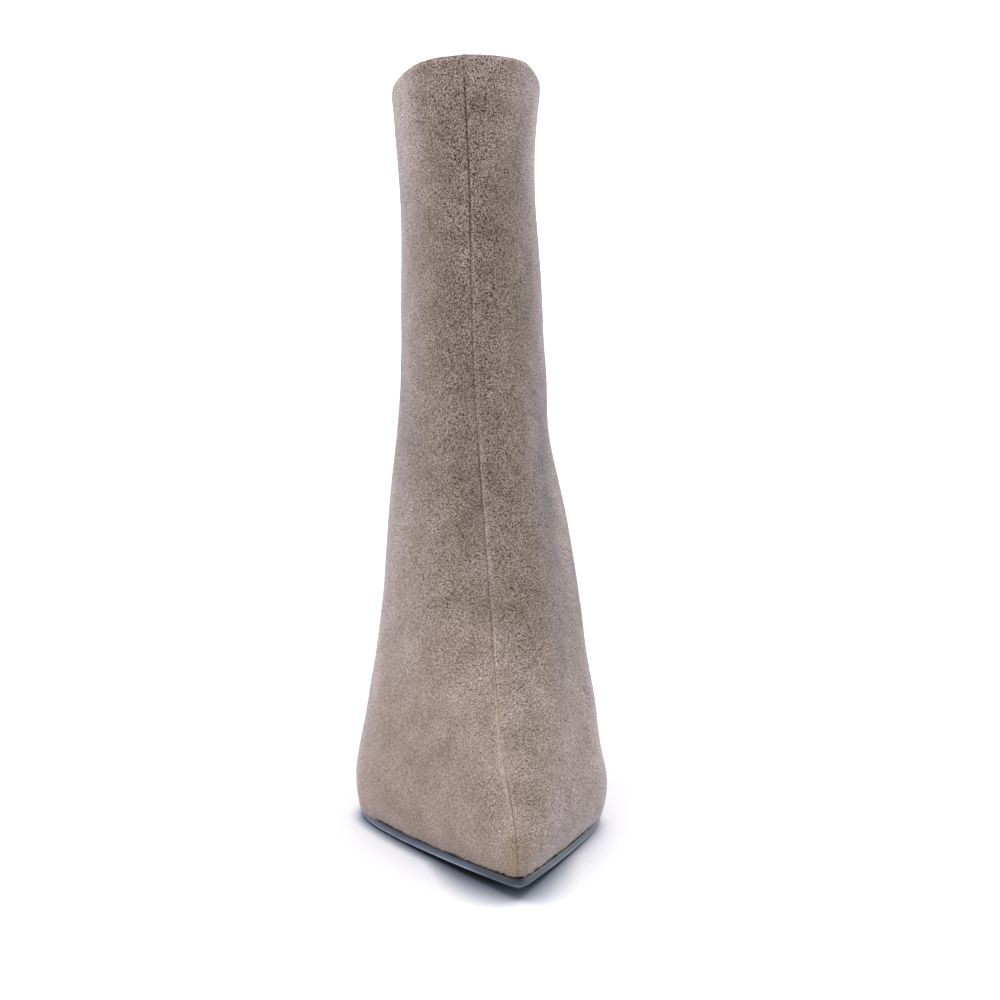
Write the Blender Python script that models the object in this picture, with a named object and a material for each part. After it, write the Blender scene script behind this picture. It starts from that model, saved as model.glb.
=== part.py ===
"""Pointed ankle boot with a high slim heel, for the right foot.

Lengths are in millimetres in the tables below and become metres in the meshes. In the last's own frame
"along" runs forwards from the rearmost point of the heel, "across" runs to the inner (big toe) side and
"up" rises from the floor. The finished boot points its toe along -Y, with its inner side at +X.
"""

from collections import namedtuple
from math import pi, radians, tan

import bmesh
import bpy
import numpy as np

MM = 0.001

# Driving dimensions
HEEL_HEIGHT = 92.0  # floor to the upper's lower edge at the back
TOE_TIP = 241.0  # heel to the lower edge's toe tip, measured along the floor
COLLAR_FRONT = 251.2  # floor to the top line at the front
COLLAR_BACK = 234.0  # floor to the top line at the back
COLLAR_TILT = 3.0  # degrees by which the top line rises to the inner side
COLLAR_FALL = 3.4  # drop of the top line from the centre seams to the sides
WALL = 2.0  # suede and lining together
RIM_ROUND = 0.6  # rise of the folded edge along the top line
SEAM_WIDTH = 1.8
SEAM_DEPTH = 0.4
SOLE = 3.0  # outsole at the forefoot
SOLE_WAIST = 2.5  # outsole under the arch
SOLE_BEVEL = 0.8
SOLE_MARGIN = 0.4  # how far the outsole stands out from the upper
SOLE_TIP = 2.2  # further reach of the outsole past the toe tip
SOLE_BEAK = 6.0  # half width at which the outsole begins to run to its sharp tip
INSOLE = 2.5
LIFT = 5.0  # the heel's rubber top piece
GAP = 0.3  # between pieces that are glued together
TREAD = SOLE + GAP  # the upper's lower edge where the sole lies on the floor
TOE_UP = TREAD + 3.3  # the same edge at the toe tip
SEAT_FRONT = 47.0  # front of the heel seat, measured along the floor

# The last's curve to the inner side, and the shaft's lean to the outer side
SWING_ANGLE = 8.0
SWING_START = 128.0
SWING_SOFTNESS = 20.0
LEAN_ANGLE = 0.9
LEAN_START = 120.0
LEAN_SOFTNESS = 30.0
ARCH_HOLLOW = 3.0  # the inner waist is narrower than the outer by this
BALL_SKEW = 0.02  # the inner ball lies further forward, as a share of the length
SHOULDER = 0.14  # softness of the turn from the ball to the straight sides of the toe

# Mesh density
SIDE_COLUMNS = 30
FRONT_COLUMN = SIDE_COLUMNS + 3  # the column of points along the front seam; the back seam is column 0
ROWS_PER_RING = 3
SOLE_STATIONS = 40
HEEL_COLUMNS = 12
HEEL_ROWS = 4

Bottom = namedtuple("Bottom", "name along up")

# The lower edge of the upper seen from the side
BOTTOM_LINE = (
    Bottom("heel back", 4.0, HEEL_HEIGHT),
    Bottom("heel seat", 24.0, HEEL_HEIGHT - 4.0),
    Bottom("heel breast", 50.0, HEEL_HEIGHT - 15.0),
    Bottom("shank", 88.0, 50.0),
    Bottom("arch", 112.0, 25.5),
    Bottom("ball back", 134.0, 9.0),
    Bottom("ball", 145.0, 4.6),
    Bottom("tread start", 155.0, TREAD),
    Bottom("tread end", 176.0, TREAD),
    Bottom("toe break", 208.0, TREAD + 1.0),
    Bottom("toe tip", TOE_TIP, TOE_UP),
)

Ring = namedtuple(
    "Ring",
    "name back_along back_up front_along front_up dip heel_at ball_at heel waist ball inward ridge power nose",
)

# Sections of the upper from its lower edge to the top line. Each runs from a back point to a front point.
# "dip" is how far it follows the lower edge (1) or stays a plane (0). "heel_at" and "ball_at" are shares of
# its length, "heel", "waist" and "ball" are half widths there. "inward" moves width to the inner side,
# "ridge" moves the front point there, "power" runs from straight toe sides (1) to round (2) and square (3),
# and "nose" is the radius of a pointed front.
RINGS = (
    Ring("lower edge", 4, HEEL_HEIGHT, TOE_TIP, TOE_UP, 1, 0.11, 0.63, 23.5, 22, 38.2, -0.6, 0, 1.02, 1.6),
    Ring("wall", 1.5, 100, 241.5, 12.5, 1, 0.12, 0.62, 25, 24, 41.4, -0.2, 0, 1.06, 2.6),
    Ring("high wall", 0, 112, 235, 22, 0.92, 0.15, 0.61, 25, 26, 40.2, 0.4, -0.5, 1.15, 4),
    Ring("vamp", 1, 125, 208, 40, 0.66, 0.2, 0.58, 24.5, 27.5, 35.8, 3.1, -1.2, 1.35, 7),
    Ring("instep", 3.5, 139, 168, 73, 0.3, 0.26, 0.54, 24, 27, 31.4, 2.2, 1.4, 1.6, 8),
    Ring("ankle bend", 6, 155, 129, 117, 0.1, 0.35, 0.5, 24, 25, 25.7, 0.1, 2.8, 1.75, 6),
    Ring("throat", 7, 176, 107, 153, 0, 0.42, 0.5, 25.4, 25.5, 25.7, 0.7, 2, 1.95, 2),
    Ring("shaft", 5, 204, 99, 200, 0, 0.46, 0.5, 24.6, 24.6, 24.6, 0, 1.6, 2.2, 0),
    Ring("high shaft", 3.2, 220, 98.6, 227, 0, 0.47, 0.5, 25.2, 25.2, 25.2, -0.4, 1, 2.4, 0),
    Ring("collar", 1, COLLAR_BACK, 99, COLLAR_FRONT, 0, 0.48, 0.5, 26.8, 26.8, 26.8, 0, 0.3, 2.7, 0),
)

HeelSection = namedtuple("HeelSection", "name back_along back_up breast_along breast_up half oval")

# Sections of the heel below its seat. "oval" is 0 for the seat's outline and 1 for the slim stem's.
HEEL_SECTIONS = (
    HeelSection("under seat", 6.0, 81.0, 42.5, 70.0, 20.0, 0.30),
    HeelSection("neck", 9.5, 65.0, 37.0, 57.5, 13.5, 0.80),
    HeelSection("stem", 14.5, 43.0, 34.0, 40.0, 8.6, 1.00),
    HeelSection("low stem", 18.5, 22.0, 32.0, 21.5, 6.2, 1.00),
    HeelSection("heel end", 20.5, LIFT + GAP, 31.5, LIFT + GAP, 5.4, 1.00),
)
STEM_WIDEST = 0.45  # share of a stem section's length at its widest
STEM_BREAST = 0.55  # width of the stem's flat breast, as a share of its widest

Finish = namedtuple("Finish", "name red green blue roughness")
SUEDE = Finish("taupe suede", 142, 127, 119, 0.95)
LEATHER = Finish("lining leather", 176, 157, 142, 0.6)
LEATHER_SOLE = Finish("dark sole leather", 62, 66, 76, 0.45)
RUBBER = Finish("black rubber", 28, 28, 30, 0.8)


def ease(share):
    share = np.clip(share, 0.0, 1.0)
    return share * share * (3.0 - 2.0 * share)


def gradual(distance, softness):
    """Zero far before 0 and equal to the distance far past it, with a soft turn between."""
    return (distance + np.sqrt(distance * distance + softness * softness)) / 2.0


def monotone_curve(knots, values, at):
    """A smooth curve through the values that never overshoots them, so a level stretch stays level."""
    knots = np.asarray(knots, float)
    values = np.asarray(values, float)
    at = np.asarray(at, float)
    widths = np.diff(knots)
    slopes = np.diff(values) / widths
    tangents = np.zeros_like(values)
    tangents[0] = slopes[0]
    tangents[-1] = slopes[-1]
    for i in range(1, len(knots) - 1):
        before, after = slopes[i - 1], slopes[i]
        if before * after > 0.0:
            near = 2.0 * widths[i] + widths[i - 1]
            far = widths[i] + 2.0 * widths[i - 1]
            tangents[i] = (near + far) / (near / before + far / after)
    i = np.clip(np.searchsorted(knots, at, side="right") - 1, 0, len(widths) - 1)
    t = np.clip((at - knots[i]) / widths[i], 0.0, 1.0)
    curve = (1 + 2 * t) * (1 - t) ** 2 * values[i] + t * (1 - t) ** 2 * widths[i] * tangents[i]
    curve += t * t * (3 - 2 * t) * values[i + 1] + t * t * (t - 1) * widths[i] * tangents[i + 1]
    curve += np.minimum(at - knots[0], 0.0) * tangents[0]
    return curve + np.maximum(at - knots[-1], 0.0) * tangents[-1]


def natural_spline(knots, values, at):
    """A cubic spline through whole loops of points, one loop for each knot."""
    count = len(knots)
    widths = np.diff(knots)
    matrix = np.eye(count)
    right = np.zeros_like(values)
    for i in range(1, count - 1):
        matrix[i, i - 1 : i + 2] = widths[i - 1], 2.0 * (widths[i - 1] + widths[i]), widths[i]
        right[i] = 6.0 * ((values[i + 1] - values[i]) / widths[i] - (values[i] - values[i - 1]) / widths[i - 1])
    bends = np.linalg.solve(matrix, right.reshape(count, -1)).reshape(values.shape)
    i = np.clip(np.searchsorted(knots, at, side="right") - 1, 0, count - 2)
    width = widths[i][:, None, None]
    low = ((knots[i + 1] - at) / widths[i])[:, None, None]
    high = 1.0 - low
    line = low * values[i] + high * values[i + 1]
    return line + ((low**3 - low) * bends[i] + (high**3 - high) * bends[i + 1]) * width**2 / 6.0


def loft(loops, rows):
    """Loops between the given ones, with this many steps from each to the next."""
    steps = np.linalg.norm(np.diff(loops, axis=0), axis=2).mean(axis=1)
    knots = np.concatenate([[0.0], np.cumsum(steps)])
    places = np.linspace(0.0, len(loops) - 1.0, (len(loops) - 1) * rows + 1)
    return natural_spline(knots, loops, np.interp(places, np.arange(len(loops)), knots))


def bottom_up(along):
    return monotone_curve([row.along for row in BOTTOM_LINE], [row.up for row in BOTTOM_LINE], along)


def centre_line(along, up):
    """The middle of the boot, across, at a place along it and a height."""
    swing = gradual(along - SWING_START, SWING_SOFTNESS) - gradual(-SWING_START, SWING_SOFTNESS)
    lean = gradual(up - LEAN_START, LEAN_SOFTNESS) - gradual(-LEAN_START, LEAN_SOFTNESS)
    return tan(radians(SWING_ANGLE)) * swing - tan(radians(LEAN_ANGLE)) * lean


def half_width(ring, share, inner):
    """Half the section's width at a share of its length: round heel, waist, ball and tapered front."""
    ball_at = ring.ball_at + (BALL_SKEW * ring.dip if inner else 0.0)
    waist = ring.waist - (ARCH_HOLLOW * ring.dip if inner else 0.0)
    waist_at = (ring.heel_at + ball_at) / 2.0
    length = ring.front_along - ring.back_along
    heel = ring.heel * np.sqrt(np.clip(1.0 - (1.0 - share / ring.heel_at) ** 2, 0.0, 1.0))
    places = [ring.heel_at - 1.0, ring.heel_at, waist_at, ball_at, ball_at + 1.0]
    waisted = monotone_curve(places, [ring.heel, ring.heel, waist, ring.ball, ring.ball], share)
    front = np.clip((share - ball_at) / (1.0 - ball_at), 0.0, 1.0)
    soft = max(SHOULDER * (2.0 - ring.power), 0.001)
    taper = (np.sqrt(front**2 + soft**2) - soft) / (np.sqrt(1.0 + soft**2) - soft)
    side = ring.ball * np.clip(1.0 - taper**ring.power, 0.0, 1.0) ** (1.0 / ring.power)
    to_tip = np.sqrt(side**2 + 2.0 * ring.nose * (1.0 - share) * length * front**4)
    half = np.where(share < ring.heel_at, heel, np.where(share < ball_at, waisted, to_tip))
    return half * (1.0 + (ring.inward if inner else -ring.inward) / ring.ball)


def side_points(ring, share, inner):
    """Points of one side of a section, from its back to its front."""
    along = ring.back_along + share * (ring.front_along - ring.back_along)
    edge = RINGS[0]
    under = bottom_up(edge.back_along + share * (edge.front_along - edge.back_along))
    chord = edge.back_up + share * (edge.front_up - edge.back_up)
    up = ring.back_up + share * (ring.front_up - ring.back_up) + ring.dip * (under - chord)
    half = half_width(ring, share, inner)
    across = half * (1.0 if inner else -1.0)
    topward = ease((ring.front_up - LEAN_START) / (COLLAR_FRONT - LEAN_START)) * (1.0 - ring.dip)
    up = up + topward * (tan(radians(COLLAR_TILT)) * across - COLLAR_FALL * (half / ring.ball) ** 2)
    across = across + centre_line(along, up) + ring.ridge * ease(2.0 * share - 1.0)
    return np.stack([across, along, up], axis=1)


def spaced_side(ring, inner):
    """The same points spaced along the section, with a close pair beside each centre seam."""
    dense = side_points(ring, (1.0 - np.cos(np.linspace(0.0, pi, 600))) / 2.0, inner)
    reach = np.concatenate([[0.0], np.cumsum(np.linalg.norm(np.diff(dense, axis=0), axis=1))])
    beside = np.array([0.0, SEAM_WIDTH / 2.0])
    even = np.linspace(2.0 * SEAM_WIDTH, reach[-1] - 2.0 * SEAM_WIDTH, SIDE_COLUMNS)
    places = np.concatenate([beside, even, reach[-1] - beside[::-1]])
    return np.stack([np.interp(places, reach, dense[:, k]) for k in range(3)], axis=1)


def ring_loop(ring):
    """The whole section: outer side from back to front, then inner side from front to back."""
    outer_side = spaced_side(ring, False)
    inner_side = spaced_side(ring, True)
    return np.concatenate([outer_side, inner_side[::-1][1:-1]])


def offset_in_plan(loop, distance):
    """The loop moved outwards by a distance in plan, keeping its heights."""
    run = np.roll(loop, -1, axis=0) - np.roll(loop, 1, axis=0)
    normal = np.stack([run[:, 1], -run[:, 0]], axis=1)
    normal /= np.linalg.norm(normal, axis=1)[:, None]
    turn = np.sum(loop[:, 0] * np.roll(loop[:, 1], -1) - loop[:, 1] * np.roll(loop[:, 0], -1))
    moved = loop.copy()
    moved[:, :2] += normal * distance * np.sign(turn)
    return moved


def outward_normals(rows):
    """Unit normals of a surface given as loops, pointing out of the boot."""
    around = np.roll(rows, -1, axis=1) - np.roll(rows, 1, axis=1)
    upward = np.gradient(rows, axis=0)
    normals = np.cross(around, upward)
    normals /= np.linalg.norm(normals, axis=2)[:, :, None]
    middle = rows.mean(axis=1)[:, None, :]
    return normals * np.sign(np.sum(normals * (rows - middle)))


def upper_loops():
    """The upper's outer face from its lower edge to the top line, its rim, and its inner face down again."""
    outer = loft(np.array([ring_loop(ring) for ring in RINGS]), ROWS_PER_RING)
    normals = outward_normals(outer)
    inner = outer - WALL * normals
    inner[0] = offset_in_plan(outer[0], -WALL)
    for seam in (0, FRONT_COLUMN):
        outer[:, seam] -= SEAM_DEPTH * normals[:, seam]
        for side in (-1, 1):
            inner[:, seam + side] = inner[:, seam] + (inner[:, seam + 2 * side] - inner[:, seam]) / 4.0
    inner[0, :, 2] = bottom_up(inner[0, :, 1])
    rim = (outer[-1] + inner[-1]) / 2.0
    rim[:, 2] += RIM_ROUND
    return np.concatenate([outer, rim[None], inner[::-1]]), inner[0]


def insole_loops(inside):
    """A sheet that lies inside the upper's lower edge and closes it from within."""
    beside_seams = [1, FRONT_COLUMN - 1, FRONT_COLUMN + 1, len(inside) - 1]
    low = offset_in_plan(np.delete(inside, beside_seams, axis=0), -GAP)
    low[:, 2] = bottom_up(low[:, 1])
    high = low + np.array([0.0, 0.0, INSOLE])
    return np.array([low, high])


def outsole_loops():
    """The sole's upper edge, the foot of its side and its bevelled underside."""
    edge = RINGS[0]
    length = edge.front_along - edge.back_along
    start = (SEAT_FRONT + GAP - edge.back_along) / length
    share = 1.0 - (1.0 - start) * (1.0 - np.cos(np.linspace(0.0, pi / 2.0, SOLE_STATIONS + 1)))
    outer_side = side_points(edge, share, False)
    inner_side = side_points(edge, share, True)
    loop = np.concatenate([outer_side, inner_side[::-1][:-1]])
    back = loop[:, 1] < SEAT_FRONT + 2.0 * GAP
    breast = loop[back, 1].mean()
    loop = offset_in_plan(loop, SOLE_MARGIN)
    inset = offset_in_plan(loop, -SOLE_BEVEL)
    aside = np.abs(loop[:, 0] - centre_line(loop[:, 1], loop[:, 2]))
    reach = SOLE_TIP * np.clip(1.0 - aside / SOLE_BEAK, 0.0, 1.0) ** 1.5
    for outline in (loop, inset):
        outline[:, 1] += reach
        outline[back, 1] = breast
    to_tread = (loop[:, 1] - SEAT_FRONT) / (BOTTOM_LINE[7].along - SEAT_FRONT)
    thick = SOLE_WAIST + (SOLE - SOLE_WAIST) * ease(to_tread)
    top = loop.copy()
    top[:, 2] = bottom_up(loop[:, 1]) - GAP
    side = top.copy()
    side[:, 2] -= thick - SOLE_BEVEL
    inset[:, 2] = top[:, 2] - thick
    return np.array([top, side, inset])


def heel_loop(section):
    """One section of the heel, from its back round the outer side to the breast and back on the inner side."""
    share = 1.0 - np.cos(np.linspace(0.0, pi / 2.0, HEEL_COLUMNS + 1))
    along = section.back_along + share * (section.breast_along - section.back_along)
    up = section.back_up + share * (section.breast_up - section.back_up)
    edge = RINGS[0]
    seat_along = edge.back_along + share * (SEAT_FRONT - edge.back_along)
    seat_share = (seat_along - edge.back_along) / (edge.front_along - edge.back_along)
    up += (1.0 - section.oval) ** 2 * seat_sag(share)
    back = np.sqrt(np.clip(1.0 - (1.0 - share / STEM_WIDEST) ** 2, 0.0, 1.0))
    breast = 1.0 - (1.0 - STEM_BREAST) * np.clip((share - STEM_WIDEST) / (1.0 - STEM_WIDEST), 0.0, 1.0) ** 2.5
    stem = section.half * np.where(share < STEM_WIDEST, back, breast)
    sides = []
    for inner in (False, True):
        seat = half_width(edge, seat_share, inner) * section.half / edge.heel
        across = seat + section.oval * (stem - seat)
        across = centre_line(along, up) + across * (1.0 if inner else -1.0)
        sides.append(np.stack([across, along, up], axis=1))
    return np.concatenate([sides[0], sides[1][::-1][:-1]])


def seat_sag(share):
    """How far the heel seat lies below a straight line from its back to its front."""
    back = RINGS[0].back_along
    line = bottom_up(back) + share * (bottom_up(SEAT_FRONT) - bottom_up(back))
    return bottom_up(back + share * (SEAT_FRONT - back)) - line


def heel_loops():
    seat_back = float(bottom_up(RINGS[0].back_along)) - GAP
    seat_front = float(bottom_up(SEAT_FRONT)) - GAP
    seat = HeelSection("seat", RINGS[0].back_along, seat_back, SEAT_FRONT, seat_front, RINGS[0].heel, 0.0)
    return loft(np.array([heel_loop(section) for section in (seat,) + HEEL_SECTIONS]), HEEL_ROWS)


def lift_loops():
    """The top piece, from the heel's end straight down to the floor with a slight taper."""
    high = heel_loop(HEEL_SECTIONS[-1])
    high[:, 2] = LIFT
    low = offset_in_plan(high, -GAP)
    low[:, 2] = 0.0
    return np.array([high, low])


def finish_material(finish):
    material = bpy.data.materials.new(finish.name)
    material.use_nodes = True
    shader = material.node_tree.nodes["Principled BSDF"]
    shades = [(level / 255.0 + 0.055) / 1.055 for level in (finish.red, finish.green, finish.blue)]
    shader.inputs["Base Color"].default_value = [shade**2.4 for shade in shades] + [1.0]
    shader.inputs["Roughness"].default_value = finish.roughness
    shader.inputs["Metallic"].default_value = 0.0
    return material


def cap_faces(loop):
    """Closes a loop with strips across it, from its first point to the far side."""
    count = len(loop)
    faces = [(loop[0], loop[1], loop[count - 1])]
    i = 1
    while i + 1 < count - i - 1:
        faces.append((loop[i], loop[i + 1], loop[count - i - 1], loop[count - i]))
        i += 1
    if i + 1 == count - i - 1:
        faces.append((loop[i], loop[i + 1], loop[count - i]))
    return faces


def add_piece(name, loops, middle, finish, ring_shaped=False):
    """One closed solid from loops of points: capped at both ends, or joined end to end like a hollow ring."""
    build = bmesh.new()
    rows = []
    for loop in loops:
        places = (loop - middle) * (MM, -MM, MM)
        rows.append([build.verts.new(place + (0.0, 0.0, 0.0)) for place in places])
    pairs = list(zip(rows, rows[1:]))
    if ring_shaped:
        pairs.append((rows[-1], rows[0]))
    for low, high in pairs:
        for i in range(len(low)):
            j = (i + 1) % len(low)
            build.faces.new((low[i], low[j], high[j], high[i]))
    if not ring_shaped:
        for loop in (rows[0], rows[-1]):
            for corners in cap_faces(loop):
                build.faces.new(corners)
    bmesh.ops.recalc_face_normals(build, faces=build.faces[:])
    mesh = bpy.data.meshes.new(name)
    build.to_mesh(mesh)
    build.free()
    mesh.shade_smooth()
    mesh.set_sharp_from_angle(angle=radians(40.0))
    mesh.materials.append(finish_material(finish))
    piece = bpy.data.objects.new(name, mesh)
    bpy.context.collection.objects.link(piece)
    return piece


def main():
    for old in list(bpy.data.objects):
        bpy.data.objects.remove(old)
    upper, inside = upper_loops()
    outsole = outsole_loops()
    heel = heel_loops()
    points = np.concatenate([upper.reshape(-1, 3), outsole.reshape(-1, 3), heel.reshape(-1, 3)])
    middle = (points.min(axis=0) + points.max(axis=0)) / 2.0
    middle[2] = 0.0
    pieces = [
        add_piece("upper", upper, middle, SUEDE, ring_shaped=True),
        add_piece("insole", insole_loops(inside), middle, LEATHER),
        add_piece("outsole", outsole, middle, LEATHER_SOLE),
        add_piece("heel", heel, middle, SUEDE),
        add_piece("top_lift", lift_loops(), middle, RUBBER),
    ]
    boot = bpy.data.objects.new("boot", None)
    bpy.context.collection.objects.link(boot)
    for piece in pieces:
        piece.parent = boot


main()
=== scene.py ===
import math

import bmesh
import bpy
import numpy as np
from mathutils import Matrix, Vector


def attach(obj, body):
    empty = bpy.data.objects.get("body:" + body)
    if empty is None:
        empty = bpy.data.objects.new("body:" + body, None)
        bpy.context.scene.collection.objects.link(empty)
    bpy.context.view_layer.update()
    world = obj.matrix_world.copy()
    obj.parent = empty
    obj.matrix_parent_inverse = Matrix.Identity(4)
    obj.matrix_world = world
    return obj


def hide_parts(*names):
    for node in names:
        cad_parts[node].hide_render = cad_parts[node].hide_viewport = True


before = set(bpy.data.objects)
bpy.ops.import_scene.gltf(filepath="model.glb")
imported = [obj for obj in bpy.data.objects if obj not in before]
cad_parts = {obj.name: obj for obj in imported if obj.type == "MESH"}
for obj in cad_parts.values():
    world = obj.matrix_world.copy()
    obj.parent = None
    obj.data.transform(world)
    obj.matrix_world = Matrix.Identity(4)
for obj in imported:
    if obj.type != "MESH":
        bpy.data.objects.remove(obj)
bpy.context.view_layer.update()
mm = 0.001
farOff = 50.0  # mm, for a distance to something that isn't near
noiseSpan = (0.3, 0.7)  # most of a noise pattern lies between these
print("frame loaded:", sorted(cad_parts))


def linear(code):  # an sRGB hex value as linear light
    levels = [int(code[i:i + 2], 16) / 255 for i in (1, 3, 5)]
    return [x / 12.92 if x <= 0.04045 else ((x + 0.055) / 1.055) ** 2.4 for x in levels] + [1.0]


def feed(tree, node, inputs):  # values and links into a node's sockets
    for socket, value in dict(inputs).items():
        if isinstance(value, bpy.types.NodeSocket):
            tree.links.new(value, node.inputs[socket])
        else:
            node.inputs[socket].default_value = value


# a node with its settings, values, links and ramp colours: Map Range reads from 1 to 2 and gives 3 to 4,
# and Mix takes its share at 0 and mixes numbers at 2 and 3, vectors at 4 and 5, colours at 6 and 7
def addNode(tree, kind, inputs=(), stops=(), **settings):
    made = tree.nodes.new("ShaderNode" + kind)
    for name, value in settings.items():
        setattr(made, name, value)
    feed(tree, made, inputs)
    for k, (stop, code) in enumerate(stops):
        spot = made.color_ramp.elements[k] if k < 2 else made.color_ramp.elements.new(stop)
        spot.position = stop
        spot.color = linear(code)
    return made


def newMaterial(name):
    material = bpy.data.materials.new(name)
    material.use_nodes = True
    tree = material.node_tree
    where = addNode(tree, "TexCoord").outputs["Object"]
    return material, tree, tree.nodes["Principled BSDF"], where


def selectOnly(piece):
    bpy.ops.object.select_all(action="DESELECT")
    piece.select_set(True)
    bpy.context.view_layer.objects.active = piece


def copyOf(node, name):  # a merged copy of a solid, with the solid's own material taken off
    piece = bpy.data.objects.new(name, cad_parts[node].data.copy())
    bpy.context.scene.collection.objects.link(piece)
    piece.data.materials.clear()
    selectOnly(piece)
    bpy.ops.object.mode_set(mode="EDIT")
    bpy.ops.mesh.select_all(action="SELECT")
    bpy.ops.mesh.remove_doubles(threshold=0.001 * mm)
    bpy.ops.object.mode_set(mode="OBJECT")
    return piece


def addModifier(piece, kind, apply=True, **settings):
    selectOnly(piece)
    modifier = piece.modifiers.new(kind.title(), kind)
    for name, value in settings.items():
        setattr(modifier, name, value)
    if apply:
        bpy.ops.object.modifier_apply(modifier=modifier.name)
    return modifier


def vectors(piece, name):  # the points' places ("co") or normals
    flat = np.zeros(len(piece.data.vertices) * 3, np.float32)
    piece.data.vertices.foreach_get(name, flat)
    return flat.reshape(-1, 3).astype(float)


def places(piece):
    return vectors(piece, "co")


def place(piece, points):
    piece.data.vertices.foreach_set("co", points.astype(np.float32).ravel())
    piece.data.update()


def setValues(piece, **measures):  # one number of each kind for each point of a mesh
    for name, values in measures.items():
        held = piece.data.attributes.get(name) or piece.data.attributes.new(name, "FLOAT", "POINT")
        held.data.foreach_set("value", np.asarray(values, np.float32))


def getValues(piece, name):
    values = np.zeros(len(piece.data.vertices), np.float32)
    piece.data.attributes[name].data.foreach_get("value", values)
    return values.astype(float)


def dressed(piece, node):  # the piece takes the place of a solid
    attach(piece, "root")
    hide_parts(node)
    print("piece", piece.name, "with", len(piece.data.polygons), "faces")


def bell(distance, width):
    return np.exp(-(distance / width) ** 2)


def ease(low, high, value):  # 0 at low, 1 at high, smooth between
    share = np.clip((value - low) / (high - low), 0, 1)
    return share * share * (3 - 2 * share)
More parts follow.
